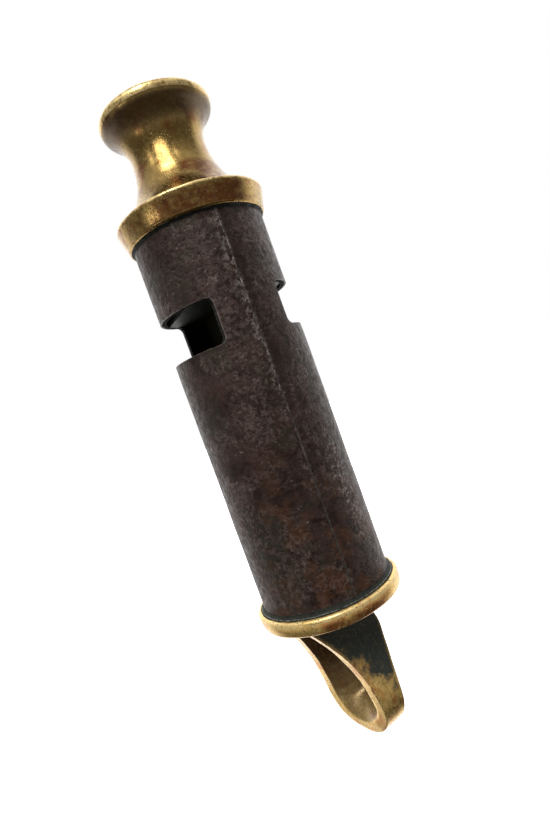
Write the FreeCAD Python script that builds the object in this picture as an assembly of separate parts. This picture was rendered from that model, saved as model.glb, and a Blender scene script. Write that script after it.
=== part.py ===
"""Two-tone tubular whistle: an iron barrel between brass ends, blown from the top.

Frame: millimetres, +Z up. The origin is the centre of the mouthpiece's end face,
so the whole whistle hangs below it. The two windows face +X and -X, and the
barrel's lengthwise seam faces -Y. Every turned piece is round about the Z axis.
"""
import FreeCAD, Part
import math
import os

V = FreeCAD.Vector
Z_AXIS = V(0, 0, 1)

# --- driving dimensions, in millimetres and degrees ---
barrel_radius = 8.7
barrel_wall = 0.8
barrel_length = 49.35
seam_gap = 0.5
seam_bead_height = 0.12

lip_radius = 7.5
lip_edge_round = 0.8
lip_roll_radius = 1.6
neck_radius = 5.0
neck_depth = 5.9
mouth_bore_radius = 3.25
foot_radius = 8.6
mouthpiece_length = 13.85
mouthpiece_spigot_radius = 4.6

collar_radius = 9.9
collar_thickness = 3.0
collar_band = 0.6
collar_edge_round = 0.3
collar_bevel_bulge = 0.2
collar_lower_overhang = 0.1
spigot_depth = 2.0

window_offset = 9.67
window_height = 5.71
window_cut_x = 4.2
window_corner_radius = 0.8

windway_flat_x = 6.6
plenum_height = 1.5
partition_thickness = 0.8
partition_slot_depth = 2.0
partition_overrun = 0.6
stop_thickness = 1.0
low_chamber_length = 28.0
high_chamber_length = 24.5

cap_radius = 9.75
cap_thickness = 2.0
cap_edge_round = 0.4
cap_spigot_height = 2.2
upper_solder_leg = 0.35
lower_solder_leg = 0.65

loop_length = 17.5
loop_half_width = 5.6
loop_neck_half_width = 2.2
loop_tip_half_thickness = 1.15
loop_half_thickness = 1.65
loop_front_foot_thickness = 7.2
loop_back_foot_thickness = 4.4
loop_flare_length = 16.0
loop_cove_radius = 1.6
loop_cove_overlap = 0.5
loop_twist = 10.0
hole_half_width = 2.75
hole_crown_radius = 0.9
hole_tip_land = 2.1
hole_web = 3.9
tenon_radius = 2.0
rivet_head_radius = 2.9
rivet_head_height = 0.8

# --- levels and radii that follow from them ---
bore_radius = barrel_radius - barrel_wall
collar_top_z = -mouthpiece_length
barrel_top_z = collar_top_z - collar_thickness
barrel_bottom_z = barrel_top_z - barrel_length
cap_bottom_z = barrel_bottom_z - cap_thickness
cap_spigot_top_z = barrel_bottom_z + cap_spigot_height
loop_tip_z = cap_bottom_z - loop_length
window_top_z = barrel_top_z - window_offset
window_bottom_z = window_top_z - window_height
spigot_bottom_z = barrel_top_z - spigot_depth
block_top_z = spigot_bottom_z - plenum_height
low_stop_top_z = window_bottom_z - low_chamber_length
high_stop_top_z = window_bottom_z - high_chamber_length
partition_bottom_z = low_stop_top_z - stop_thickness - partition_overrun
hole_centre_z = loop_tip_z + hole_tip_land + hole_half_width


def outline(start, *steps):
    """Closed wire in the XZ plane. A step is an end point, or (middle, end) of an arc."""
    edges = []
    here = V(start[0], 0, start[1])
    for step in (*steps, start):
        if isinstance(step[0], tuple):
            middle, end = (V(p[0], 0, p[1]) for p in step)
            edges.append(Part.Arc(here, middle, end).toShape())
        else:
            end = V(step[0], 0, step[1])
            if end.isEqual(here, 1e-7):
                continue
            edges.append(Part.LineSegment(here, end).toShape())
        here = end
    return Part.Wire(edges)


def turned(start, *steps):
    """Solid of revolution about Z from an outline given as (radius, z) points."""
    face = Part.Face(outline(start, *steps))
    return face.revolve(V(0, 0, 0), Z_AXIS, 360)


def rod(radius, bottom_z, top_z):
    return Part.makeCylinder(radius, top_z - bottom_z, V(0, 0, bottom_z))


def block(low, high):
    """Box between two opposite corners."""
    size = [b - a for a, b in zip(low, high)]
    return Part.makeBox(*size, V(*low))


def point_on_arc(centre, radius, angle):
    """(r, z) at an angle in degrees, from the outward direction towards +Z."""
    turn = math.radians(angle)
    return (centre[0] + radius * math.cos(turn), centre[1] + radius * math.sin(turn))


def sagitta_radius(rise, run):
    """Radius of an arc that starts along the run and has left it by the rise at its end."""
    return (rise * rise + run * run) / (2 * rise)


def arc_rise(radius, run):
    """How far such an arc has left its starting direction after a given run."""
    return radius - math.sqrt(radius * radius - run * run)


def lip_steps():
    """Outline steps round the lip's roll, and on down the bell that leaves it smoothly for the neck."""
    edge_centre = (lip_radius - lip_edge_round, -lip_edge_round)
    edge_middle = point_on_arc(edge_centre, lip_edge_round, 45)
    roll = (lip_radius - lip_roll_radius, -lip_edge_round)
    across = roll[0] - neck_radius
    drop = neck_depth - lip_edge_round
    bell_radius = (across**2 + drop**2 - lip_roll_radius**2) / (2 * (across + lip_roll_radius))
    turn = math.degrees(math.atan2(drop, bell_radius - across))
    roll_middle = point_on_arc(roll, lip_roll_radius, -turn / 2)
    meeting = point_on_arc(roll, lip_roll_radius, -turn)
    bell_middle = point_on_arc((neck_radius + bell_radius, -neck_depth), bell_radius, 180 - turn / 2)
    return (
        (edge_centre[0], 0),
        (edge_middle, (lip_radius, -lip_edge_round)),
        (roll_middle, meeting),
        (bell_middle, (neck_radius, -neck_depth)),
    )


def make_mouthpiece():
    """Rolled lip, waisted neck, and a spigot that passes down through the collar."""
    flare_run = mouthpiece_length - neck_depth
    flare_radius = sagitta_radius(foot_radius - neck_radius, flare_run)
    flare_middle = (neck_radius + arc_rise(flare_radius, flare_run / 2), -neck_depth - flare_run / 2)
    return turned(
        (mouth_bore_radius, 0),
        *lip_steps(),
        (flare_middle, (foot_radius, collar_top_z)),
        (mouthpiece_spigot_radius, collar_top_z),
        (mouthpiece_spigot_radius, spigot_bottom_z),
        (mouth_bore_radius, spigot_bottom_z),
    )


def make_collar():
    """Brass ring between mouthpiece and barrel: band above, rounded bevel below."""
    edge_centre = (collar_radius - collar_edge_round, collar_top_z - collar_edge_round)
    edge_middle = point_on_arc(edge_centre, collar_edge_round, 45)
    band_bottom = (collar_radius, collar_top_z - collar_band)
    bevel_end = (barrel_radius + collar_lower_overhang, barrel_top_z)
    bevel_middle = (
        (band_bottom[0] + bevel_end[0]) / 2 + collar_bevel_bulge,
        (band_bottom[1] + bevel_end[1]) / 2 - collar_bevel_bulge,
    )
    return turned(
        (mouthpiece_spigot_radius, collar_top_z),
        (edge_centre[0], collar_top_z),
        (edge_middle, (collar_radius, edge_centre[1])),
        band_bottom,
        (bevel_middle, bevel_end),
        (bore_radius, barrel_top_z),
        (bore_radius, spigot_bottom_z),
        (mouthpiece_spigot_radius, spigot_bottom_z),
    )


def make_windway_block():
    """Plug with two flats. Each flat leaves a slit that blows air across one window."""
    plug = rod(bore_radius, window_top_z, block_top_z)
    reach = 2 * bore_radius
    plug = plug.common(block((-windway_flat_x, -reach, window_top_z), (windway_flat_x, reach, block_top_z)))
    half = partition_thickness / 2
    slot_top = window_top_z + partition_slot_depth
    return plug.cut(block((-half, -reach, window_top_z - 1), (half, reach, slot_top)))


def window_cutter(side):
    """The milling cut for one window, with rounded inner corners. side is 1 or -1."""
    reach = 2 * barrel_radius
    near, far = sorted((side * window_cut_x, side * reach))
    cutter = block((near, -reach, window_bottom_z), (far, reach, window_top_z))
    inner = [
        e for e in cutter.Edges
        if all(abs(v.X - side * window_cut_x) < 1e-6 for v in e.Vertexes)
        and abs(e.Vertexes[0].Z - e.Vertexes[-1].Z) < 1e-6
    ]
    return cutter.makeFillet(window_corner_radius, inner)


def make_barrel():
    """Tube rolled from sheet, open along its seam, with a window milled in each side."""
    tube = rod(barrel_radius, barrel_bottom_z, barrel_top_z)
    tube = tube.cut(rod(bore_radius, barrel_bottom_z, barrel_top_z))
    half = seam_gap / 2
    gap = block((-half, -2 * barrel_radius, barrel_bottom_z), (half, 0, barrel_top_z))
    return tube.cut(gap).cut(window_cutter(1)).cut(window_cutter(-1))


def make_seam_braze():
    """Strip of brazing metal that fills the seam and stands a little proud of it."""
    half = seam_gap / 2
    ring = rod(barrel_radius + seam_bead_height, barrel_bottom_z, barrel_top_z)
    ring = ring.cut(rod(bore_radius, barrel_bottom_z, barrel_top_z))
    return ring.common(block((-half, -2 * barrel_radius, barrel_bottom_z), (half, 0, barrel_top_z)))


def make_partition():
    """Lengthwise plate that divides the barrel into a chamber behind each window."""
    half = partition_thickness / 2
    top_z = window_top_z + partition_slot_depth
    plate = block((-half, -2 * bore_radius, partition_bottom_z), (half, 2 * bore_radius, top_z))
    return plate.common(rod(bore_radius, partition_bottom_z, top_z))


def make_stop(side, top_z):
    """Half-round plate that closes one chamber. side is 1 for +X, -1 for -X."""
    disc = rod(bore_radius, top_z - stop_thickness, top_z)
    reach = 2 * bore_radius
    near, far = sorted((side * partition_thickness / 2, side * reach))
    return disc.common(block((near, -reach, top_z - stop_thickness), (far, reach, top_z)))


def make_end_cap():
    """Flanged disc that closes the barrel, with a round rim and a hole for the tenon."""
    rim_middle = (cap_radius, (barrel_bottom_z + cap_bottom_z) / 2)
    edge_radius = cap_radius - cap_edge_round
    return turned(
        (tenon_radius, cap_spigot_top_z),
        (bore_radius, cap_spigot_top_z),
        (bore_radius, barrel_bottom_z),
        (edge_radius, barrel_bottom_z),
        (rim_middle, (edge_radius, cap_bottom_z)),
        (tenon_radius, cap_bottom_z),
    )


def make_solder_ring(leg, face_z, way):
    """Solder fillet round the barrel against a flange face. way is 1 above it, -1 below."""
    return turned(
        (barrel_radius, face_z),
        (barrel_radius + leg, face_z),
        (barrel_radius, face_z + way * leg),
    )


def egg_arc(width, end_radius, run):
    """Side arc of an egg, tangent to its widest line and to the small end's circle.

    The widest half-width is at height 0 and the small end's centre is at height run.
    Returns the arc's middle point and its meeting point with the small end.
    """
    radius = (width**2 + run**2 - end_radius**2) / (2 * (width - end_radius))
    centre = (width - radius, 0)
    turn = math.degrees(math.atan2(run, radius - width))
    return point_on_arc(centre, radius, turn / 2), point_on_arc(centre, radius, turn)


def loop_outer_face():
    """The loop seen through its hole: round at the tip, narrowing to its foot."""
    centre_z = loop_tip_z + loop_half_width
    run = cap_bottom_z - centre_z
    side_radius = sagitta_radius(loop_half_width - loop_neck_half_width, run)
    middle = (loop_half_width - arc_rise(side_radius, run / 2), centre_z + run / 2)
    foot = (loop_neck_half_width, cap_bottom_z)
    return Part.Face(
        outline(
            (loop_half_width, centre_z),
            (middle, foot),
            (-foot[0], foot[1]),
            ((-middle[0], middle[1]), (-loop_half_width, centre_z)),
            ((0, loop_tip_z), (loop_half_width, centre_z)),
        )
    )


def loop_hole_face():
    """Egg-shaped hole: its round end follows the tip, its small end is under the web."""
    crown_z = cap_bottom_z - hole_web
    run = crown_z - hole_crown_radius - hole_centre_z
    middle, meeting = egg_arc(hole_half_width, hole_crown_radius, run)
    return Part.Face(
        outline(
            (hole_half_width, hole_centre_z),
            ((middle[0], hole_centre_z + middle[1]), (meeting[0], hole_centre_z + meeting[1])),
            ((0, crown_z), (-meeting[0], hole_centre_z + meeting[1])),
            ((-middle[0], hole_centre_z + middle[1]), (-hole_half_width, hole_centre_z)),
            ((0, hole_centre_z - hole_half_width), (hole_half_width, hole_centre_z)),
        )
    )


def flared_side(foot_thickness):
    """One side of the loop as (depth, z): its foot, the flare's middle, its bend and its tip."""
    flare_radius = sagitta_radius(foot_thickness - loop_half_thickness, loop_flare_length)
    bend_z = cap_bottom_z - loop_flare_length
    half_run = loop_flare_length / 2
    middle = (loop_half_thickness + arc_rise(flare_radius, half_run), bend_z + half_run)
    foot, bend = (foot_thickness, cap_bottom_z), (loop_half_thickness, bend_z)
    return foot, middle, bend, (loop_tip_half_thickness, loop_tip_z)


def loop_side():
    """The loop seen edge on: thin at the tip, flaring like a trumpet to its foot, most of all in front."""
    foot, middle, bend, tip = flared_side(loop_back_foot_thickness)
    front = [(-depth, z) for depth, z in flared_side(loop_front_foot_thickness)]
    return Part.Face(outline(foot, (middle, bend), tip, front[3], front[2], (front[1], front[0])))


def through_x(face):
    """Long prism along X from a face drawn in the XZ plane as seen along X."""
    reach = 2 * loop_front_foot_thickness
    prism = face.extrude(V(0, reach, 0))
    prism.translate(V(0, -reach / 2, 0))
    prism.rotate(V(0, 0, 0), Z_AXIS, 90)
    return prism


def make_loop_foot():
    """Low round cove that spreads the loop's foot over the end cap."""
    low = (loop_neck_half_width - loop_cove_overlap, cap_bottom_z - loop_cove_radius)
    rim = (low[0] + loop_cove_radius, cap_bottom_z)
    middle = point_on_arc((rim[0], low[1]), loop_cove_radius, 135)
    return turned((0, cap_bottom_z), rim, (middle, low), (0, low[1]))


def make_suspension_loop():
    """Cast ring for a chain or cord, with a riveted tenon through the end cap."""
    reach = 2 * loop_front_foot_thickness
    side = loop_side().extrude(V(0, reach, 0))
    side.translate(V(0, -reach / 2, 0))
    ring = through_x(loop_outer_face()).common(side)
    ring = ring.fuse(make_loop_foot()).cut(through_x(loop_hole_face()))
    tenon = rod(tenon_radius, cap_bottom_z, cap_spigot_top_z)
    head = rod(rivet_head_radius, cap_spigot_top_z, cap_spigot_top_z + rivet_head_height)
    loop = ring.fuse([tenon, head]).removeSplitter()
    loop.rotate(V(0, 0, 0), Z_AXIS, loop_twist)
    return loop


def export(name, shape):
    """Write one piece as parts/NAME.step and report what it is."""
    solids = shape.Solids
    solid = solids[0] if len(solids) == 1 else Part.Compound(solids)
    solid.exportStep(os.path.join("parts", name + ".step"))
    box = solid.BoundBox
    print(
        f"{name}: {len(solids)} solid(s), valid {solid.isValid()}, {solid.Volume:.1f} mm3,"
        f" z {box.ZMin:.2f} to {box.ZMax:.2f}, x {box.XLength:.2f}, y {box.YLength:.2f}"
    )


def main():
    os.makedirs("parts", exist_ok=True)
    pieces = {
        "mouthpiece": make_mouthpiece(),
        "mouthpiece_collar": make_collar(),
        "windway_block": make_windway_block(),
        "barrel": make_barrel(),
        "barrel_seam_braze": make_seam_braze(),
        "partition_plate": make_partition(),
        "low_tone_stop": make_stop(-1, low_stop_top_z),
        "high_tone_stop": make_stop(1, high_stop_top_z),
        "end_cap": make_end_cap(),
        "suspension_loop": make_suspension_loop(),
        "upper_solder_ring": make_solder_ring(upper_solder_leg, barrel_top_z, -1),
        "lower_solder_ring": make_solder_ring(lower_solder_leg, barrel_bottom_z, 1),
    }
    for name, shape in pieces.items():
        export(name, shape)


main()
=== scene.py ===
"""Looks of the two-tone tubular whistle: worn brass ends on a browned iron barrel."""
import math

import bmesh
import bpy
from mathutils import Matrix, Vector, noise


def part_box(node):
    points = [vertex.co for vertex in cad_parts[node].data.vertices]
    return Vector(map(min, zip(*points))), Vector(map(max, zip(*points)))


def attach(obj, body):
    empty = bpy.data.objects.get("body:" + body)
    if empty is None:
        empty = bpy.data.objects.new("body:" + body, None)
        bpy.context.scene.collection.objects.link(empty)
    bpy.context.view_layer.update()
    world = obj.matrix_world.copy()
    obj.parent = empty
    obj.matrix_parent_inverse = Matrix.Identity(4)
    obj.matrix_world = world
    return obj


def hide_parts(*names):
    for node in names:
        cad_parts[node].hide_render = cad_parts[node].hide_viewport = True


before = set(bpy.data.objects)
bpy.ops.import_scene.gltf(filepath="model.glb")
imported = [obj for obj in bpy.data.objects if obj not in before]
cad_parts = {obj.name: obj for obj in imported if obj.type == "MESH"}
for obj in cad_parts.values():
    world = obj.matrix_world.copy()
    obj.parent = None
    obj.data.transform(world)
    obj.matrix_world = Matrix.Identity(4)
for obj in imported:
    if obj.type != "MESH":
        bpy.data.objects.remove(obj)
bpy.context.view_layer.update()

MM = 0.001


def lowest(node):
    """Lowest corner of a node's box, in millimetres."""
    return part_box(node)[0] / MM


def highest(node):
    """Highest corner of a node's box, in millimetres."""
    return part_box(node)[1] / MM


# --- levels and radii read from the frame, in millimetres ---
barrel_radius = highest("barrel").x
barrel_top = highest("barrel").z
barrel_bottom = lowest("barrel").z
collar_radius = highest("mouthpiece_collar").x
collar_top = highest("mouthpiece_collar").z
spigot_bottom = lowest("mouthpiece").z
cap_radius = highest("end_cap").x
cap_top = highest("end_cap").z
cap_bottom = lowest("end_cap").z
window_top = lowest("windway_block").z
loop_tip = lowest("suspension_loop").z

# --- sizes that the frame doesn't name, in millimetres ---
lip_radius = 7.5
lip_edge_round = 0.8
lip_roll_radius = 1.6
neck_radius = 5.0
neck_depth = 5.9
foot_radius = 8.6
foot_inset = 0.4
mouth_bore = 3.25
mouth_bore_edge = 0.35
mouth_bore_edge_cut = 0.1
spigot_radius = 4.6
foot_sink = 0.1

collar_overhang = 0.15
collar_edge_width = 0.45
collar_edge_drop = 0.35
collar_bevel_inset = 0.3
collar_bevel_drop = 1.5
collar_foot_width = 0.42
collar_foot_rise = 0.45

cap_centre_radius = 2.0
cap_top_edge = 0.42
cap_bottom_edge = 0.6
cap_edge_drop = 0.5

barrel_wall = 0.8
seam_angle = math.radians(-92.0)
seam_wander = 0.02
seam_wander_length = 6
seam_lip_height = 0.03
seam_lip_width = 1.6
seam_groove_depth = 0.06
seam_groove_width = 0.35
seam_groove_place = 0.55
seam_least_share = 0.15
seam_fade_start = 16
seam_fade_length = 14
window_height = 5.71
window_cut_x = 4.2
window_corner = 0.8

loop_half_width = 5.75
loop_tip_height = 4.4
loop_neck_half_width = 2.4
loop_far_neck_half_width = 2.7
loop_tip_half_thickness = 1.4
loop_half_thickness = 1.65
loop_front_foot_thickness = 7.2
loop_back_foot_thickness = 4.4
loop_flare = 16.0
loop_shoulder = 4.5
loop_shoulder_round = 0.12
loop_overlap = 0.3
loop_lean = -0.45
loop_side_lean = -0.4
loop_front_band = 0.36
loop_turn = math.radians(10.0)
loop_through = (math.cos(loop_turn), math.sin(loop_turn), 0.0)
loop_across = (-math.sin(loop_turn), math.cos(loop_turn), 0.0)
hole_half_width = 1.35
hole_crown_radius = 0.8
hole_tip_land = 3.7
hole_web = 2.6
hole_draft_depth = 1.9
hole_draft_curve = 1.35

upper_solder_leg = 0.35
lower_solder_leg = 0.62

# --- patches on the barrel: distance round from the seam, level, half-width and half-height ---
damp_patch = (-8.5, barrel_bottom + 7, 3.5, 8)
low_pale_patch = (-4.8, barrel_bottom + 8, 3.0, 5.5)
top_pale_patch = (-4.3, barrel_top - 3, 3.5, 3.5)
flaked_patch = (4.2, barrel_bottom + 13, 1.9, 8)


# --- meshes ---
def arc_points(start, middle, end, steps):
    """Points on the circle through three (r, z) points, without the first one."""
    (ax, ay), (bx, by), (cx, cy) = start, middle, end
    d = 2 * (ax * (by - cy) + bx * (cy - ay) + cx * (ay - by))
    a2, b2, c2 = ax * ax + ay * ay, bx * bx + by * by, cx * cx + cy * cy
    ox = (a2 * (by - cy) + b2 * (cy - ay) + c2 * (ay - by)) / d
    oy = (a2 * (cx - bx) + b2 * (ax - cx) + c2 * (bx - ax)) / d
    radius = math.hypot(ax - ox, ay - oy)
    first = math.atan2(ay - oy, ax - ox)
    turn_middle = (math.atan2(by - oy, bx - ox) - first) % math.tau
    turn = (math.atan2(cy - oy, cx - ox) - first) % math.tau
    if turn_middle > turn:
        turn -= math.tau
    angles = [first + turn * i / steps for i in range(1, steps + 1)]
    return [(ox + radius * math.cos(t), oy + radius * math.sin(t)) for t in angles]


def outline(start, *steps, spacing=0.2):
    """Closely spaced (r, z) points. A step is an end point, or (middle, end) of an arc."""
    points = [start]
    for step in steps:
        here = points[-1]
        if isinstance(step[0], tuple):
            length = math.dist(here, step[0]) + math.dist(*step)
            points += arc_points(here, *step, max(3, round(length / spacing)))
        else:
            count = max(1, round(math.dist(here, step) / spacing))
            points += [
                tuple(here[k] + (step[k] - here[k]) * i / count for k in (0, 1))
                for i in range(1, count + 1)
            ]
    return points


def new_object(name, verts, faces):
    """Mesh object in the scene, from vertices in millimetres."""
    mesh = bpy.data.meshes.new(name)
    mesh.from_pydata([Vector(v) * MM for v in verts], [], faces)
    mesh.update()
    obj = bpy.data.objects.new(name, mesh)
    bpy.context.scene.collection.objects.link(obj)
    return obj


def grid_faces(rows, columns):
    """Quads of a grid that closes on itself both ways."""
    return [
        (
            i * columns + j,
            i * columns + (j + 1) % columns,
            (i + 1) % rows * columns + (j + 1) % columns,
            (i + 1) % rows * columns + j,
        )
        for i in range(rows)
        for j in range(columns)
    ]


def lathe(name, profile, segments=288, swell=lambda angle, r, z: 0.0):
    """Turned piece from a closed (r, z) outline. swell adds to the radius, in millimetres."""
    verts = []
    for r, z in profile:
        for j in range(segments):
            angle = math.tau * j / segments
            radius = r + swell(angle, r, z)
            verts.append((radius * math.cos(angle), radius * math.sin(angle), z))
    obj = new_object(name, verts, grid_faces(len(profile), segments))
    make_outward(obj)
    return obj


def make_outward(obj):
    """Faces point out of the solid, and are shaded smooth."""
    bm = bmesh.new()
    bm.from_mesh(obj.data)
    bmesh.ops.recalc_face_normals(bm, faces=bm.faces)
    bm.to_mesh(obj.data)
    bm.free()
    obj.data.shade_smooth()


def sharpen(obj, degrees):
    """Edges that turn by more than this stay crisp."""
    obj.data.set_sharp_from_angle(angle=math.radians(degrees))


def worn(obj, dents, dent_size, pits, pit_size, seed):
    """Moves the surface in and out by shallow dents and by small corrosion pits, in millimetres."""
    pit_reach, patch_pits, patch_gain = 0.45, 5, 3
    patch_shift = Vector((3.1, 7.7, 1.9))
    obj.data.update()
    shift = Vector((seed, seed * 1.7, seed * 0.6))
    normals = [Vector(n.vector) for n in obj.data.vertex_normals]
    for vertex, normal in zip(obj.data.vertices, normals):
        place = vertex.co / MM + shift
        move = dents * noise.noise(place / dent_size)
        cell = noise.voronoi(place / pit_size)[0][0]
        patch = max(0.0, noise.noise(place / (patch_pits * pit_size) + patch_shift))
        move -= pits * max(0.0, 1 - cell / pit_reach) * min(1.0, patch_gain * patch)
        vertex.co += normal * move * MM
    obj.data.update()


def curved_rise(rise, run, part):
    """Height of an arc above its starting tangent, after a part of its run."""
    radius = (rise * rise + run * run) / (2 * rise)
    return radius - math.sqrt(radius * radius - (part * run) ** 2)


def on_circle(centre, radius, angle):
    """(r, z) at an angle from the outward direction towards +Z."""
    return (centre[0] + radius * math.cos(angle), centre[1] + radius * math.sin(angle))


def lip_steps():
    """Outline steps round the lip's roll, and on down the bell that leaves it smoothly."""
    edge_centre = (lip_radius - lip_edge_round, -lip_edge_round)
    edge_middle = on_circle(edge_centre, lip_edge_round, math.pi / 4)
    roll = (lip_radius - lip_roll_radius, -lip_edge_round)
    across = roll[0] - neck_radius
    drop = neck_depth - lip_edge_round
    bell_radius = (across**2 + drop**2 - lip_roll_radius**2) / (2 * (across + lip_roll_radius))
    turn = math.atan2(drop, bell_radius - across)
    roll_middle = on_circle(roll, lip_roll_radius, -turn / 2)
    meeting = on_circle(roll, lip_roll_radius, -turn)
    bell_middle = on_circle((neck_radius + bell_radius, -neck_depth), bell_radius, math.pi - turn / 2)
    return (
        (edge_centre[0], 0.0),
        (edge_middle, (lip_radius, -lip_edge_round)),
        (roll_middle, meeting),
        (bell_middle, (neck_radius, -neck_depth)),
    )


def make_mouthpiece():
    """Rolled lip, waisted neck, and the spigot inside the collar."""
    flare_rise, flare_run = foot_radius - neck_radius, neck_depth + collar_top
    flare_middle = (neck_radius + curved_rise(flare_rise, flare_run, 0.5), -neck_depth + flare_run / 2)
    profile = outline(
        (mouth_bore, spigot_bottom),
        (mouth_bore, -mouth_bore_edge),
        ((mouth_bore + mouth_bore_edge_cut, -mouth_bore_edge_cut), (mouth_bore + mouth_bore_edge, 0.0)),
        *lip_steps(),
        (flare_middle, (foot_radius, collar_top)),
        (foot_radius - foot_inset, collar_top - foot_sink),
        (spigot_radius, collar_top - foot_sink),
        (spigot_radius, spigot_bottom),
        spacing=0.16,
    )
    obj = lathe("mouthpiece_turned", profile)
    worn(obj, dents=0.012, dent_size=3.5, pits=0.0, pit_size=0.5, seed=2.0)
    return obj


def make_collar():
    """Ring with a rounded upper edge and a bevel that rounds in over the barrel.

    The smallest offsets here and in the end cap place the middle of a rounding.
    """
    foot = barrel_radius + collar_overhang
    profile = outline(
        (spigot_radius, collar_top),
        (collar_radius - collar_edge_width, collar_top),
        ((collar_radius - 0.1, collar_top - 0.08), (collar_radius, collar_top - collar_edge_drop)),
        (
            (collar_radius - collar_bevel_inset, collar_top - collar_bevel_drop),
            (foot + collar_foot_width, barrel_top + collar_foot_rise),
        ),
        ((foot + 0.3, barrel_top + 0.1), (foot, barrel_top)),
        (spigot_radius, barrel_top),
        spacing=0.12,
    )
    obj = lathe("mouthpiece_collar_turned", profile)
    worn(obj, dents=0.03, dent_size=2.5, pits=0.06, pit_size=0.4, seed=5.0)
    return obj


def make_end_cap():
    """Flange with a round rim, and the part of it that closes the barrel."""
    bore = barrel_radius - barrel_wall
    rim_middle = (cap_radius, (barrel_bottom + cap_bottom) / 2)
    profile = outline(
        (cap_centre_radius, cap_top),
        (bore, cap_top),
        (bore, barrel_bottom),
        (cap_radius - cap_top_edge, barrel_bottom),
        ((cap_radius - 0.14, barrel_bottom - 0.12), (cap_radius - 0.02, barrel_bottom - cap_edge_drop)),
        (rim_middle, (cap_radius - 0.1, cap_bottom + cap_edge_drop)),
        ((cap_radius - 0.25, cap_bottom + 0.14), (cap_radius - cap_bottom_edge, cap_bottom)),
        (cap_centre_radius, cap_bottom),
        spacing=0.12,
    )
    obj = lathe("end_cap_turned", profile)
    worn(obj, dents=0.05, dent_size=3.0, pits=0.05, pit_size=0.42, seed=8.0)
    return obj


def seam_centre(z):
    """The seam's angle at a level. It wanders a little."""
    return seam_angle + seam_wander * noise.noise(Vector((0, 0, z / seam_wander_length)))


def seam_step(angle, z):
    """The lap at the seam: one lip of the sheet stands a little over the other, most at the top."""
    turn = (angle - seam_centre(z) + math.pi) % math.tau - math.pi
    across = turn * barrel_radius
    lip = seam_lip_height * math.exp(-((across / seam_lip_width) ** 2))
    groove = seam_groove_depth * math.exp(-(((across - seam_groove_place) / seam_groove_width) ** 2))
    height = z - barrel_bottom
    fade = min(1.0, max(seam_least_share, (height - seam_fade_start) / seam_fade_length))
    return (lip - groove) * fade


def window_cutter(side):
    """The milling cut for one window, with rounded inner corners."""
    reach = 2 * barrel_radius
    low = window_top - window_height
    corner_x = window_cut_x + window_corner
    cut_share = 0.29
    cut = cut_share * window_corner
    profile = outline(
        (reach, low),
        (corner_x, low),
        ((window_cut_x + cut, low + cut), (window_cut_x, low + window_corner)),
        (window_cut_x, window_top - window_corner),
        ((window_cut_x + cut, window_top - cut), (corner_x, window_top)),
        (reach, window_top),
        spacing=0.15,
    )
    count = len(profile)
    verts = [(side * x, y, z) for y in (-reach, reach) for x, z in profile]
    faces = [(i, (i + 1) % count, count + (i + 1) % count, count + i) for i in range(count)]
    faces += [tuple(range(count)), tuple(range(count, 2 * count))]
    cutter = new_object("cutter", verts, faces)
    make_outward(cutter)
    return cutter


def make_barrel():
    """Tube with a lapped seam and two windows."""
    bore = barrel_radius - barrel_wall
    rows = outline((barrel_radius, barrel_top), (barrel_radius, barrel_bottom), spacing=0.22)
    inner = outline((bore, barrel_bottom), (bore, barrel_top), spacing=1.5)
    obj = lathe(
        "barrel_tube",
        rows + inner,
        segments=256,
        swell=lambda angle, r, z: seam_step(angle, z) if r > bore + 0.1 else 0.0,
    )
    worn(obj, dents=0.05, dent_size=5.0, pits=0.05, pit_size=0.7, seed=11.0)
    for side in (1, -1):
        cutter = window_cutter(side)
        cut = obj.modifiers.new("window", "BOOLEAN")
        cut.operation = "DIFFERENCE"
        cut.solver = "EXACT"
        cut.object = cutter
        apply_modifiers(obj)
        bpy.data.objects.remove(cutter)
    sharpen(obj, 50)
    return obj


def apply_modifiers(obj):
    """The mesh becomes what its modifiers make of it."""
    bpy.context.view_layer.update()
    graph = bpy.context.evaluated_depsgraph_get()
    mesh = bpy.data.meshes.new_from_object(obj.evaluated_get(graph))
    obj.modifiers.clear()
    obj.data = mesh


def loop_half_depth(z, foot_thickness):
    """The loop's depth from its middle to one face, at a level: a trumpet flare."""
    bend = cap_bottom - loop_flare
    if z < bend:
        part = (z - loop_tip) / (bend - loop_tip)
        return loop_tip_half_thickness + (loop_half_thickness - loop_tip_half_thickness) * part
    rise = foot_thickness - loop_half_thickness
    return loop_half_thickness + curved_rise(rise, loop_flare, min(1.0, (z - bend) / loop_flare))


def loop_depth(z, level):
    """Place along the loop's hole for a level from -1, in front, to 1. The back rounds in at the foot."""
    if level <= 0:
        return level * loop_half_depth(z, loop_front_foot_thickness)
    shoulder = max(0.0, loop_shoulder - (cap_bottom - z))
    return level * (loop_half_depth(z, loop_back_foot_thickness) - loop_shoulder_round * shoulder**2)


def loop_outside(steps):
    """(y, z) points round the loop's outside, from its left side down round the tip."""
    widest_z = loop_tip + loop_tip_height
    foot_z = cap_bottom + loop_overlap
    run = foot_z - widest_z
    far, near = loop_far_neck_half_width, loop_neck_half_width

    def side_middle(neck):
        """Middle of the arc from the widest line to one side of the foot."""
        return (loop_half_width - curved_rise(loop_half_width - neck, run, 0.5), widest_z + run / 2)

    near_y, middle_z = side_middle(near)
    turns = [math.pi * (1 + i / (2 * steps)) for i in range(1, 2 * steps + 1)]
    points = [(loop_half_width * math.cos(t), widest_z + loop_tip_height * math.sin(t)) for t in turns]
    points += arc_points((loop_half_width, widest_z), side_middle(far), (far, foot_z), 2 * steps)
    points += [(far + (-near - far) * i / steps, foot_z) for i in range(1, steps + 1)]
    points += arc_points((-near, foot_z), (-near_y, middle_z), (-loop_half_width, widest_z), 2 * steps)
    return points


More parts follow.
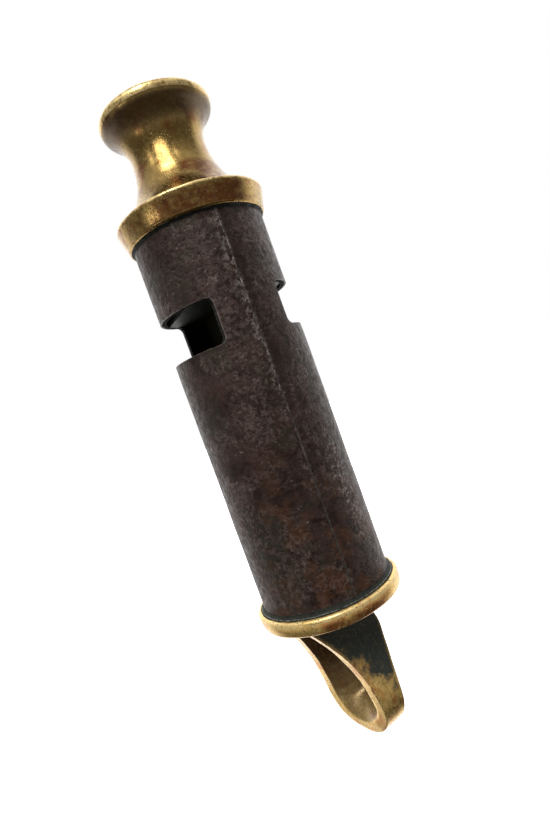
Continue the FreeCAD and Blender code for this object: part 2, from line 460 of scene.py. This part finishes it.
def loop_hole(steps):
    """(y, z) points round the hole's narrow end, one for each point of the outside."""
    width, small = hole_half_width, hole_crown_radius
    hole_z = loop_tip + hole_tip_land + width
    crown = cap_bottom - hole_web
    run = crown - small - hole_z
    radius = (width**2 + run**2 - small**2) / (2 * (width - small))
    turn = math.atan2(run, radius - width)
    right = [on_circle((width - radius, hole_z), radius, turn * k) for k in (0.5, 1)]
    left = [(-y, z) for y, z in right]
    points = arc_points((-width, hole_z), (0, hole_z - width), (width, hole_z), 2 * steps)
    points += arc_points((width, hole_z), *right, 2 * steps)
    points += arc_points(right[1], (0, crown), left[1], steps)
    points += arc_points(left[1], left[0], (-width, hole_z), 2 * steps)
    return points


def loop_section():
    """Rings of the loop's section: (share of the way from outside to hole, depth from -1 to 1)."""
    band, rim, slope, flat = 20, 5, 26, 10
    edge_level, edge_share, back_share = 0.98, 0.015, 0.03
    outside = [(0.0, edge_level - 2 * edge_level * i / band) for i in range(band + 1)]
    front = [(edge_share + (loop_front_band - edge_share) * i / rim, -1.0) for i in range(rim + 1)]
    into_hole = [
        (
            loop_front_band + (1 - loop_front_band) * i / slope,
            -1 + hole_draft_depth * (i / slope) ** hole_draft_curve,
        )
        for i in range(1, slope + 1)
    ]
    behind = [(1 - back_share - (1 - 2 * back_share) * i / flat, 1.0) for i in range(flat + 1)]
    return outside + front + into_hole + behind


def make_loop():
    """Cast loop with crisp outer edges. Its hole narrows from the front to the back."""
    steps = 32
    outer, hole = loop_outside(steps), loop_hole(steps)
    verts = []
    for share, level in loop_section():
        for o, h in zip(outer, hole):
            y, z = (o[k] + (h[k] - o[k]) * share for k in (0, 1))
            drop = ((cap_bottom - z) / (cap_bottom - loop_tip)) ** 2
            verts.append((loop_depth(z, level) + loop_lean * drop, y + loop_side_lean * drop, z))
    obj = new_object("suspension_loop_cast", verts, grid_faces(len(verts) // len(outer), len(outer)))
    make_outward(obj)
    obj.data.transform(Matrix.Rotation(loop_turn, 4, "Z"))
    worn(obj, dents=0.1, dent_size=3.0, pits=0.03, pit_size=0.5, seed=14.0)
    sharpen(obj, 35)
    return obj


def make_solder(name, face_z, way, leg):
    """Uneven bead of old solder and verdigris in the corner between barrel and flange.

    Its ridge and hollow are shares of its leg. way is 1 above the flange and -1 below.
    """
    sunk, clear = 0.15, 0.02

    def at(out, up):
        """(r, z) of a point that lies these shares of the leg from the corner."""
        return (barrel_radius + out * leg, face_z + up * way * leg)

    profile = outline(
        (barrel_radius - sunk, face_z),
        (barrel_radius - sunk, face_z + way * leg),
        (barrel_radius + clear, face_z + way * leg),
        (at(0.3, 0.4), at(0.6, 0.22)),
        at(0.75, 0.26),
        at(0.9, 0.0),
        spacing=0.06,
    )
    obj = lathe(name, profile)
    worn(obj, dents=0.08, dent_size=0.9, pits=0.04, pit_size=0.3, seed=17.0)
    return obj


def make_seam():
    """Thin uneven line of brazing metal that shows along the seam."""
    rows = 240
    half_width, width_change = 0.16, 0.07
    height, lift, buried = 0.05, 0.03, -0.3
    lead = 0.012
    section = ((-1, 0, buried), (-0.6, 0.7, 0), (0, 1, 0), (0.6, 0.7, 0), (1, 0, buried))
    verts = []
    for i in range(rows + 1):
        z = barrel_top + (barrel_bottom - barrel_top) * i / rows
        half = half_width + width_change * noise.noise(Vector((0, 3, z * 1.3)))
        mid = seam_centre(z) - lead
        rise = height + height * noise.noise(Vector((5, 0, z * 0.9)))
        for across, share, base in section:
            angle = mid + across * half / barrel_radius
            radius = barrel_radius + lift + share * rise + base
            verts.append((radius * math.cos(angle), radius * math.sin(angle), z))
    width = len(section)
    faces = [
        (width * i + j, width * i + (j + 1) % width, width * (i + 1) + (j + 1) % width, width * (i + 1) + j)
        for i in range(rows)
        for j in range(width)
    ]
    faces += [tuple(range(width)), tuple(range(width * rows, width * (rows + 1)))]
    obj = new_object("barrel_seam_line", verts, faces)
    make_outward(obj)
    return obj


# --- colours, as linear red, green and blue ---
iron_dark = (0.013, 0.0065, 0.0052)
iron_mottled = (0.046, 0.026, 0.022)
iron_rust = (0.085, 0.034, 0.015)
iron_moss = (0.028, 0.024, 0.015)
iron_damp = (0.026, 0.027, 0.020)
iron_pale = (0.128, 0.090, 0.077)
iron_flaked = (0.34, 0.28, 0.25)
iron_speck = (0.32, 0.28, 0.255)
iron_beside_seam = (0.22, 0.19, 0.165)
iron_seam_shadow = (0.018, 0.010, 0.008)
iron_pit = (0.010, 0.007, 0.006)
# painted shade inside the tube
iron_inside_painted_shade = (0.003, 0.004, 0.003)
# worn bare iron, also used as a painted highlight on edges
iron_bare_edge_and_highlight = (0.30, 0.26, 0.22)

brass_dark = (0.40, 0.245, 0.068)
brass_light = (0.56, 0.38, 0.13)
brass_brown = (0.21, 0.095, 0.027)
brass_ruddy = (0.37, 0.13, 0.036)
# red-brown tarnish, also the colour of a painted reflection
brass_tarnish_and_reflection = (0.20, 0.068, 0.020)
brass_score = (0.09, 0.045, 0.016)
# painted shade for brass that faces down
brass_underside_painted_shade = (0.070, 0.036, 0.017)
brass_dirt = (0.028, 0.034, 0.025)
# worn bright brass, also used as a painted highlight
brass_worn_and_highlight = (0.88, 0.65, 0.28)

solder_dark = (0.008, 0.009, 0.007)
solder_green = (0.028, 0.030, 0.022)
solder_ridge = (0.26, 0.27, 0.22)
seam_dark = (0.032, 0.021, 0.018)
seam_bright = (0.32, 0.28, 0.24)
inner_dark = (0.020, 0.019, 0.011)
inner_light = (0.045, 0.042, 0.026)
paper_grey = (0.8, 0.8, 0.8, 1.0)
white = (1.0, 1.0, 1.0, 1.0)


# --- materials ---
class Nodes:
    """Short calls for the nodes of one tree. Each value is an output or a plain value."""

    def __init__(self, tree):
        self.nodes = tree.nodes
        self.links = tree.links
        self.nodes.clear()

    def fill(self, socket, value):
        """Links an output, or sets a plain value."""
        if isinstance(value, bpy.types.NodeSocket):
            self.links.new(value, socket)
        elif isinstance(value, tuple) and len(value) == 3 and socket.type == "RGBA":
            socket.default_value = (*value, 1.0)
        else:
            socket.default_value = value

    def add(self, kind, values=None, **settings):
        """New node with its settings, and with values for the inputs that are named or numbered."""
        node = self.nodes.new("ShaderNode" + kind)
        for setting, value in settings.items():
            setattr(node, setting, value)
        for socket, value in (values or {}).items():
            self.fill(node.inputs[socket], value)
        return node

    def ramp(self, value, low, high, start=0.0, end=1.0):
        """Smooth step from start, at low, to end, at high."""
        values = {"Value": value, "From Min": low, "From Max": high, "To Min": start, "To Max": end}
        return self.add("MapRange", values, interpolation_type="SMOOTHSTEP").outputs[0]

    def band(self, value, low, high, soft):
        """1 between low and high, and a fade from soft inside to soft outside at both ends."""
        return self.times(
            self.ramp(value, low - soft, low + soft),
            self.ramp(value, high + soft, high - soft),
        )

    def math(self, operation, *values):
        return self.add("Math", dict(enumerate(values)), operation=operation).outputs[0]

    def joined(self, operation, total, *values):
        """One value out of several, joined two at a time."""
        for value in values:
            total = self.math(operation, total, value)
        return total

    def times(self, *values):
        return self.joined("MULTIPLY", *values)

    def plus(self, *values):
        return self.joined("ADD", *values)

    def most(self, *values):
        return self.joined("MAXIMUM", *values)

    def rest(self, share):
        """What a share leaves of 1."""
        return self.math("SUBTRACT", 1.0, share)

    def length(self, first, second):
        """Length of the long side of a right-angled triangle."""
        return self.math("SQRT", self.plus(self.times(first, first), self.times(second, second)))

    def along(self, vector, direction):
        """How far a vector reaches along a direction."""
        return self.add("VectorMath", {0: vector, 1: direction}, operation="DOT_PRODUCT").outputs["Value"]


class Graph(Nodes):
    """A material with a Principled shader. place is the point in millimetres."""

    def __init__(self, name, **sockets):
        self.material = bpy.data.materials.new(name)
        self.material.use_nodes = True
        super().__init__(self.material.node_tree)
        values = {socket.replace("_", " "): value for socket, value in sockets.items()}
        self.shader = self.add("BsdfPrincipled", values)
        self.add("OutputMaterial", {"Surface": self.shader.outputs[0]})
        self.place = self.scaled(self.add("TexCoord").outputs["Object"], (1 / MM,) * 3)

    def scaled(self, vector, factors, shift=0.0):
        values = {0: vector, 1: factors, 2: (shift,) * 3}
        return self.add("VectorMath", values, operation="MULTIPLY_ADD").outputs[0]

    def noise(self, size, detail, rough=0.5, warp=0.0, stretch=(1, 1, 1), seed=0.0):
        """Cloudy noise with blotches about this size in millimetres."""
        values = {
            "Vector": self.scaled(self.place, tuple(1 / (size * s) for s in stretch)),
            "W": seed,
            "Scale": 1.0,
            "Detail": detail,
            "Roughness": rough,
            "Distortion": warp,
        }
        return self.add("TexNoise", values, noise_dimensions="4D").outputs[0]

    def cells(self, size, seed):
        """Distance to the nearest of scattered points about this far apart."""
        values = {"Vector": self.scaled(self.place, (1 / size,) * 3, seed), "Scale": 1.0}
        return self.add("TexVoronoi", values).outputs["Distance"]

    def mix(self, share, first, second):
        """Colour between first, at share 0, and second, at 1."""
        return self.add("Mix", {0: share, 6: first, 7: second}, data_type="RGBA").outputs[2]

    def coated(self, colour, *coats):
        """A colour under coats. Each coat is (mask, the share that it covers, its own colour)."""
        for mask, share, coat in coats:
            colour = self.mix(self.times(mask, share), colour, coat)
        return colour

    def coordinate(self, axis):
        """x, y or z in millimetres."""
        return self.add("SeparateXYZ", {0: self.place}).outputs["xyz".index(axis)]

    def radius(self):
        """Distance from the whistle's axis, in millimetres."""
        return self.length(self.coordinate("x"), self.coordinate("y"))

    def normal(self):
        return self.add("NewGeometry").outputs["Normal"]

    def facing(self, direction):
        """1 where the surface faces a direction, 0 where it is edge on, -1 behind."""
        return self.along(self.normal(), direction)

    def across_seam(self):
        """Distance round the barrel from its seam, in millimetres."""
        angle = self.math("ARCTAN2", self.coordinate("y"), self.coordinate("x"))
        return self.times(self.math("SUBTRACT", angle, seam_angle), barrel_radius)

    def spot(self, across, z, half_across, half_z):
        """Soft oval patch on the barrel, placed by its distance round from the seam."""
        left = self.math("DIVIDE", self.math("SUBTRACT", self.across_seam(), across), half_across)
        up = self.math("DIVIDE", self.math("SUBTRACT", self.coordinate("z"), z), half_z)
        return self.ramp(self.length(left, up), 1.2, 0.3)

    def edges(self, width):
        """1 on sharp edges, falling to 0 away from them."""
        rounded = self.add("Bevel", {"Radius": width * MM}, samples=4).outputs[0]
        return self.ramp(self.along(rounded, self.normal()), 0.99, 0.8)

    def bump(self, *layers):
        """Each layer is (height, depth in millimetres)."""
        values = {"Strength": 1.0}
        for height, depth in layers:
            values.update({"Height": height, "Distance": depth * MM})
            values["Normal"] = self.add("Bump", values).outputs[0]
        self.fill(self.shader.inputs["Normal"], values["Normal"])

    def finish(self, colour, roughness):
        self.fill(self.shader.inputs["Base Color"], colour)
        self.fill(self.shader.inputs["Roughness"], roughness)
        return self.material


def browned_iron():
    """Browned sheet iron with rust, pale worn patches, specks and pits, bare edges that are partly a
    painted highlight, and painted shade on the inside of the tube.
    """
    g = Graph("browned_iron", Metallic=0.0, IOR=1.33, Specular_Tint=(1.0, 0.84, 0.76, 1.0))
    z = g.coordinate("z")
    across = g.across_seam()
    grain = g.noise(0.6, detail=6, rough=0.7, warp=0.8)
    mottle = g.noise(2.2, detail=6, rough=0.68, warp=0.8, seed=3)
    broad = g.noise(5.5, detail=3, rough=0.55, warp=0.5, seed=7)
    fine = g.noise(0.38, detail=4, rough=0.7, seed=20)
    cells = g.cells(0.55, seed=2)

    lower = g.ramp(z, barrel_bottom + 24, barrel_bottom + 4, 0.12, 1.0)
    rust = g.times(g.ramp(g.noise(3.5, detail=5, rough=0.65, seed=12), 0.45, 0.58), lower)
    moss = g.ramp(g.noise(5.0, detail=4, rough=0.6, seed=9), 0.54, 0.62)
    damp = g.times(g.spot(*damp_patch), g.ramp(mottle, 0.35, 0.6, 0.5, 1.0))
    dusty = g.most(
        g.ramp(broad, 0.45, 0.57, 0.1, 0.9),
        g.spot(*low_pale_patch),
        g.times(g.spot(*top_pale_patch), 0.8),
    )
    pale = g.times(g.ramp(grain, 0.45, 0.62), dusty)
    flaked = g.times(g.spot(*flaked_patch), g.ramp(grain, 0.5, 0.6))
    specks = g.times(g.ramp(fine, 0.6, 0.68), g.ramp(mottle, 0.46, 0.6))
    beside = g.times(g.ramp(across, -1.5, -0.5), g.ramp(across, 0.25, 0.0), g.ramp(grain, 0.48, 0.62))
    shadow = g.times(g.ramp(across, 0.1, 0.35), g.ramp(across, 1.6, 0.6))
    # painted shade: the tube's inner wall is coloured almost black and made fully rough
    inside = g.ramp(g.radius(), barrel_radius - 0.12, barrel_radius - 0.3)
    # worn bare edges, partly a painted highlight along sharp edges such as the windows'
    edge = g.times(g.edges(0.14), g.ramp(grain, 0.3, 0.5))
    colour = g.coated(
        g.mix(g.ramp(mottle, 0.38, 0.6), iron_dark, iron_mottled),
        (rust, 0.85, iron_rust),
        (moss, 0.65, iron_moss),
        (damp, 0.8, iron_damp),
        (pale, 0.8, iron_pale),
        (flaked, 0.85, iron_flaked),
        (specks, 0.75, iron_speck),
        (beside, g.ramp(z, window_top - 22, window_top, 0.2, 0.8), iron_beside_seam),
        (shadow, g.ramp(z, barrel_bottom + 18, window_top, 0.15, 0.7), iron_seam_shadow),
        (g.ramp(cells, 0.26, 0.1), 0.6, iron_pit),
        (inside, 1.0, iron_inside_painted_shade),
        (edge, 0.8, iron_bare_edge_and_highlight),
    )
    roughness = g.ramp(g.noise(0.8, detail=5, rough=0.7, seed=40), 0.34, 0.66, 0.3, 0.6)
    skin = g.noise(0.38, detail=4, rough=0.65, seed=5)
    g.bump((skin, 0.09), (g.ramp(cells, 0.08, 0.4), 0.03), (mottle, 0.25))
    return g.finish(colour, g.most(roughness, inside))


def aged_brass(
    name, seed, worn_and_highlight_mask, tarnish_and_reflection_mask, tone, brown, metal, gloss=0.16, marked=1.0, underside_painted_shade=0.0, crust=None
):
    """Old brass: worn bright on its rims and edges, brown elsewhere, with black pits.

    The three mask arguments make the bright places, worn metal that is also a painted
    highlight, the red-brown tarnish, partly a painted reflection where it faces the camera,
    and the black dirt. tone scales the metal's own colours and the tarnish's, brown sets
    how much of it is browned, gloss is its least roughness, marked scales its pits and
    scores, and the underside share sets how much painted shade, a dark brown, lies on its
    underside.
    """
    def shade(colour):
        return tuple(tone * c for c in colour)

    g = Graph(name)
    grain = g.noise(0.5, detail=5, rough=0.65, seed=seed)
    patch = g.noise(3.2, detail=4, rough=0.6, warp=0.5, seed=seed + 1)
    blotch = g.noise(2.2, detail=4, rough=0.6, seed=seed + 2)
    pitted = g.noise(1.6, detail=2, seed=seed + 3)
    scratch = g.noise(0.35, detail=3, rough=0.7, stretch=(0.3, 0.3, 3.0), seed=seed + 4)
    waves = g.noise(0.9, detail=3, seed=seed + 5)
    wear_noise = g.noise(0.9, detail=4, rough=0.65, seed=seed + 6)
    score_noise = g.noise(0.2, detail=3, rough=0.7, stretch=(1, 1, 7), seed=seed + 7)
    rags = g.noise(0.9, detail=5, rough=0.7, seed=seed + 8)
    sheen = g.noise(0.4, detail=3, seed=seed + 9)

    browned = g.ramp(patch, 0.66 - 0.3 * brown, 0.78 - 0.3 * brown)
    # painted shade: brass that faces down turns dark brown, less metallic and rougher, by the underside
    # share
    under = g.ramp(g.facing((0, 0, -1)), 0.2, 0.75)
    pits = g.times(g.ramp(g.cells(0.3, seed=seed), 0.3, 0.16), g.ramp(pitted, 0.46, 0.56, 0.0, marked))
    # bright places: worn metal, partly a painted highlight
    worn_and_highlight = g.times(worn_and_highlight_mask(g), g.ramp(wear_noise, 0.38, 0.55, 0.25, 1.0), g.ramp(pits, 0.6, 0.2))
    dirt = pits
    if crust is not None:
        dirt = g.most(pits, g.times(crust(g), g.ramp(grain, 0.2, 0.5, 0.8, 1.0)))
    dirt = g.times(dirt, g.rest(g.times(worn_and_highlight, 0.8)))
    colour = g.coated(
        g.mix(g.ramp(grain, 0.3, 0.7), shade(brass_dark), shade(brass_light)),
        (browned, 0.85, shade(brass_brown)),
        (g.ramp(blotch, 0.52, 0.66), 0.7, shade(brass_ruddy)),
        # red-brown tarnish, partly a painted reflection where it faces the camera
        (tarnish_and_reflection_mask(g), g.ramp(rags, 0.35, 0.6, 0.35, 1.0), shade(brass_tarnish_and_reflection)),
        (g.ramp(score_noise, 0.56, 0.66), 0.55 * marked, brass_score),
        (under, underside_painted_shade, brass_underside_painted_shade),
        (dirt, 1.0, brass_dirt),
        (worn_and_highlight, 0.9, brass_worn_and_highlight),
    )
    roughness = g.plus(
        g.ramp(sheen, 0.3, 0.7, gloss, gloss + 0.16),
        g.times(under, 0.2 * underside_painted_shade),
        g.times(dirt, 0.06),
        g.times(worn_and_highlight, 0.08),
    )
    dullness = g.most(g.times(dirt, 0.9), g.times(under, underside_painted_shade), g.times(worn_and_highlight, 0.4))
    g.fill(g.shader.inputs["Metallic"], g.times(g.rest(dullness), metal))
    g.bump((scratch, 0.004), (waves, 0.008), (g.rest(pits), 0.04))
    return g.finish(colour, roughness)


def worn_and_highlight_rim(start, low, high):
    """Mask of a rim, worn bright and painted with a highlight, beyond the radius start and between two
    levels.
    """
    def mask(g):
        outside = g.ramp(g.radius(), start - 0.15, start + 0.05)
        return g.times(outside, g.band(g.coordinate("z"), low, high, 0.08))
    return mask


def worn_and_highlight_cap(g):
    """Mask of the end cap's upper rim, and of scattered patches along its lower edge, worn bright and
    painted with highlights.
    """
    start = cap_radius - 0.5
    upper = worn_and_highlight_rim(cap_radius - 0.3, barrel_bottom - 0.6, barrel_bottom + 0.1)
    lower = g.band(g.coordinate("z"), cap_bottom + 0.2, cap_bottom + 1.2, 0.2)
    scattered = g.ramp(g.noise(1.3, detail=4, rough=0.65, seed=191), 0.58, 0.68)
    return g.most(upper(g), g.times(g.ramp(g.radius(), start - 0.1, start), lower, scattered))


def worn_and_highlight_edges(g):
    """Mask of a piece's sharp edges, worn bright and painted with a highlight."""
    return g.edges(0.12)


def facing_tarnish_and_reflection(direction, low, high, spread):
    """Mask of a red-brown tarnish patch on the side that faces a direction, between two levels. Facing the
    camera, it is partly a painted reflection.
    """
    def mask(g):
        here = g.band(g.coordinate("z"), low, high, 0.4)
        side = g.math("DIVIDE", g.along(g.place, direction), g.radius())
        ragged = g.plus(side, g.ramp(g.noise(2.0, detail=4, seed=181), 0.3, 0.7, -0.08, 0.08))
        return g.times(here, g.ramp(ragged, 1 - spread, 1 - 0.3 * spread))
    return mask


def outwardness(g):
    """1 where the loop's surface faces away from its hole, and -1 where it faces the hole."""
    return g.times(g.math("SIGN", g.along(g.place, loop_across)), g.facing(loop_across))


def hollow_patina(g):
    """Mask of the red-brown tarnish inside the loop's hole."""
    inward = g.ramp(outwardness(g), -0.1, -0.5)
    return g.times(inward, g.ramp(g.coordinate("z"), loop_tip + 3, cap_bottom - 6, 0.25, 1.0))


def loop_crust(g):
    """Mask of the black crust: full on the loop's outer faces near the root, thinner in its hole."""
    start, full = cap_bottom - 11.7, cap_bottom - 8.6
    away = outwardness(g)
    level = g.plus(
        g.coordinate("z"),
        g.ramp(g.noise(1.8, detail=5, rough=0.65, seed=171), 0.35, 0.65, -1.4, 1.4),
        g.times(g.along(g.place, loop_through), 1.1),
    )
    outward = g.ramp(away, 0.45, 0.75, 0.12, 1.0)
    outer = g.times(g.ramp(level, start, full), outward, g.ramp(g.edges(0.8), 0.5, 0.05))
    inward = g.most(g.ramp(away, -0.1, -0.5), g.ramp(g.facing((0, 0, 1)), 0.2, 0.6))
    return g.most(outer, g.times(inward, g.ramp(level, loop_tip + 3, cap_bottom - 5, 0.6, 0.7)))


def old_solder():
    """Black-green solder with one pale line along the bead."""
    g = Graph("old_solder", Metallic=0.0, Specular_IOR_Level=0.2)
    grain = g.noise(0.4, detail=5, rough=0.7, seed=50)
    ridge = g.band(g.radius(), barrel_radius + 0.32, barrel_radius + 0.42, 0.04)
    colour = g.coated(
        g.mix(g.ramp(grain, 0.35, 0.6), solder_dark, solder_green),
        (ridge, g.ramp(grain, 0.38, 0.55), solder_ridge),
    )
    g.bump((grain, 0.08))
    return g.finish(colour, g.ramp(grain, 0.3, 0.7, 0.5, 0.8))


def seam_metal():
    """Brazing metal, dark at the bottom and brightest from the windows up."""
    g = Graph("seam_braze", IOR=1.5)
    grain = g.noise(0.7, detail=5, rough=0.75, warp=0.5, seed=61)
    bright = g.ramp(g.coordinate("z"), barrel_bottom + 14, window_top, 0.15, 0.9)
    colour = g.mix(g.times(g.ramp(grain, 0.47, 0.6), bright), seam_dark, seam_bright)
    g.bump((grain, 0.05))
    return g.finish(colour, g.ramp(grain, 0.3, 0.7, 0.65, 0.45))


def dull_brass():
    """Unpolished brass of the pieces inside, tarnished almost black."""
    g = Graph("inner_brass", Metallic=0.6)
    grain = g.noise(0.8, detail=4, seed=70)
    colour = g.mix(g.ramp(grain, 0.3, 0.7), inner_dark, inner_light)
    g.bump((grain, 0.03))
    return g.finish(colour, g.ramp(grain, 0.3, 0.7, 0.5, 0.7))


def wear(obj, material, slot, *replaced):
    """Finishes a piece: its material, its body and the nodes that it stands for. Its slot argument is not
    used.
    """
    obj.data.materials.clear()
    obj.data.materials.append(material)
    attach(obj, "root")
    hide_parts(*replaced)


# --- the pieces ---
# the tarnish patches of the mouthpiece, collar and cap face the camera and are partly a painted reflection
mouth_brass = aged_brass(
    "mouthpiece_brass",
    100,
    worn_and_highlight_rim(lip_radius - 1.0, -1.25, 0.1),
    facing_tarnish_and_reflection((0.25, -0.97, 0), collar_top, collar_top + 4.5, 0.12),
    tone=0.7,
    brown=0.5,
    metal=0.95,
    gloss=0.14,
    marked=0.25,
    # painted shade: dark brown on the mouthpiece's undersides, under the bell
    underside_painted_shade=0.68,
)
collar_brass = aged_brass(
    "collar_brass",
    120,
    worn_and_highlight_rim(collar_radius - 0.3, collar_top - 0.4, collar_top + 0.1),
    facing_tarnish_and_reflection((-0.2, -0.98, 0), barrel_top + 0.2, collar_top - 0.7, 0.34),
    tone=0.9,
    brown=0.5,
    metal=0.8,
)
cap_brass = aged_brass(
    "cap_brass",
    140,
    worn_and_highlight_cap,
    facing_tarnish_and_reflection((-0.1, -0.99, 0), cap_bottom, barrel_bottom - 0.7, 0.14),
    tone=1.8,
    brown=0.2,
    metal=0.6,
)
loop_brass = aged_brass(
    "loop_brass",
    160,
    worn_and_highlight_edges,
    hollow_patina,
    tone=1.8,
    brown=0.15,
    metal=0.75,
    crust=loop_crust,
)
wear(make_mouthpiece(), mouth_brass, "polished_brass", "mouthpiece")
wear(make_collar(), collar_brass, "polished_brass", "mouthpiece_collar")
wear(make_end_cap(), cap_brass, "polished_brass", "end_cap")
wear(make_loop(), loop_brass, "cast_brass", "suspension_loop")
wear(make_barrel(), browned_iron(), "browned_iron", "barrel")
solder = old_solder()
upper_bead = make_solder("upper_solder_bead", barrel_top, -1, upper_solder_leg)
lower_bead = make_solder("lower_solder_bead", barrel_bottom, 1, lower_solder_leg)
wear(upper_bead, solder, "solder", "upper_solder_ring")
wear(lower_bead, solder, "solder", "lower_solder_ring")
wear(make_seam(), seam_metal(), "seam_braze", "barrel_seam_braze")
inner = dull_brass()
for node in ("windway_block", "partition_plate", "low_tone_stop", "high_tone_stop"):
    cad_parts[node].data.materials.clear()
    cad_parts[node].data.materials.append(inner)


# --- studio: places in millimetres, turns in degrees, light as a share of white ---
camera_place = Vector((-27.52, -66.44, -40.01))
camera_heading = 66.295
camera_tilt = -1.64
camera_roll = 20.04
camera_lens = 23.66
sensor_width = 36.0
nearest_seen = 1.0

room_turn = -6.0
room_light = 0.18
darkest_light = 0.015
ceiling_light = 0.7
table_light = 0.28
backdrop_light = 1.7
floor_half_size = 2000.0
floor_drop = 60.0
softbox_distance = 300.0


def pointing(heading, rise):
    """Direction of length 1 at a heading round the vertical and a rise over the horizontal."""
    turn, up = math.radians(heading), math.radians(rise)
    return Vector((math.cos(turn) * math.cos(up), math.sin(turn) * math.cos(up), math.sin(up)))


def placed(name, data, matrix):
    """New camera or light in the scene."""
    obj = bpy.data.objects.new(name, data)
    bpy.context.scene.collection.objects.link(obj)
    obj.matrix_world = matrix
    return obj


def make_camera():
    """The photograph's camera: close to the whistle, level with its middle, and rolled."""
    camera = bpy.data.cameras.new("camera")
    camera.lens = camera_lens
    camera.sensor_width = sensor_width
    camera.clip_start = nearest_seen * MM
    level = pointing(camera_heading, camera_tilt).to_track_quat("-Z", "Y").to_matrix().to_4x4()
    roll = Matrix.Rotation(math.radians(-camera_roll), 4, "Z")
    obj = placed("camera", camera, Matrix.Translation(camera_place * MM) @ level @ roll)
    bpy.context.scene.camera = obj


def softbox(name, turn, rise, width, height, radiance):
    """Area light aimed at the whistle. turn is from the camera's side towards its right."""
    light = bpy.data.lights.new(name, "AREA")
    light.shape = "RECTANGLE"
    light.size = width * MM
    light.size_y = height * MM
    light.energy = radiance * math.pi * light.size * light.size_y
    back = pointing(camera_heading + 180 + turn, rise)
    place = (Vector((0, 0, barrel_top)) + back * softbox_distance) * MM
    placed(name, light, Matrix.Translation(place) @ back.to_track_quat("Z", "Y").to_matrix().to_4x4())


def make_world():
    """White behind the whistle, a pale ceiling and table, and a dim room on the camera's side.

    The camera itself sees plain white.
    """
    world = bpy.data.worlds.new("studio")
    bpy.context.scene.world = world
    world.use_nodes = True
    g = Nodes(world.node_tree)
    direction = g.add("TexCoord").outputs["Generated"]
    forward = g.along(direction, tuple(pointing(camera_heading + 180 + room_turn, 0)))
    height = g.along(direction, (0, 0, 1))
    behind = g.ramp(forward, 0.0, -0.6, 0.0, backdrop_light)
    above = g.ramp(height, 0.45, 0.9, 0.0, ceiling_light)
    table = g.times(g.ramp(height, -0.05, -0.3, 0.0, table_light), g.ramp(height, -0.55, -0.3))
    room = g.ramp(height, -0.7, -0.1, darkest_light, room_light)
    glow = g.most(behind, g.plus(g.most(above, table), room))
    seen = g.add("LightPath").outputs["Is Camera Ray"]
    strength = g.plus(g.times(glow, g.rest(seen)), seen)
    background = g.add("Background", {"Color": white, "Strength": strength})
    g.add("OutputWorld", {"Surface": background.outputs[0]})


def make_floor():
    """White paper far below the whistle. The camera sees it, and it lights nothing."""
    z = loop_tip - floor_drop
    signs = ((-1, -1), (1, -1), (1, 1), (-1, 1))
    corners = [(floor_half_size * x, floor_half_size * y, z) for x, y in signs]
    floor = new_object("floor", corners, [(0, 1, 2, 3)])
    paper = Graph(
        "floor_paper",
        Roughness=0.8,
        Base_Color=paper_grey,
        Emission_Color=white,
        Emission_Strength=1.0,
    )
    floor.data.materials.append(paper.material)
    floor.visible_glossy = False
    floor.visible_diffuse = False


make_camera()
make_world()
make_floor()
softbox("key_light", turn=-15, rise=50, width=130, height=190, radiance=9.0)
softbox("left_light", turn=-57, rise=42, width=40, height=70, radiance=3.0)
softbox("right_light", turn=28, rise=48, width=24, height=60, radiance=3.0)
softbox("table_sheen", turn=-52, rise=-9, width=80, height=16, radiance=7.0)
bpy.context.scene.view_settings.view_transform = "Standard"
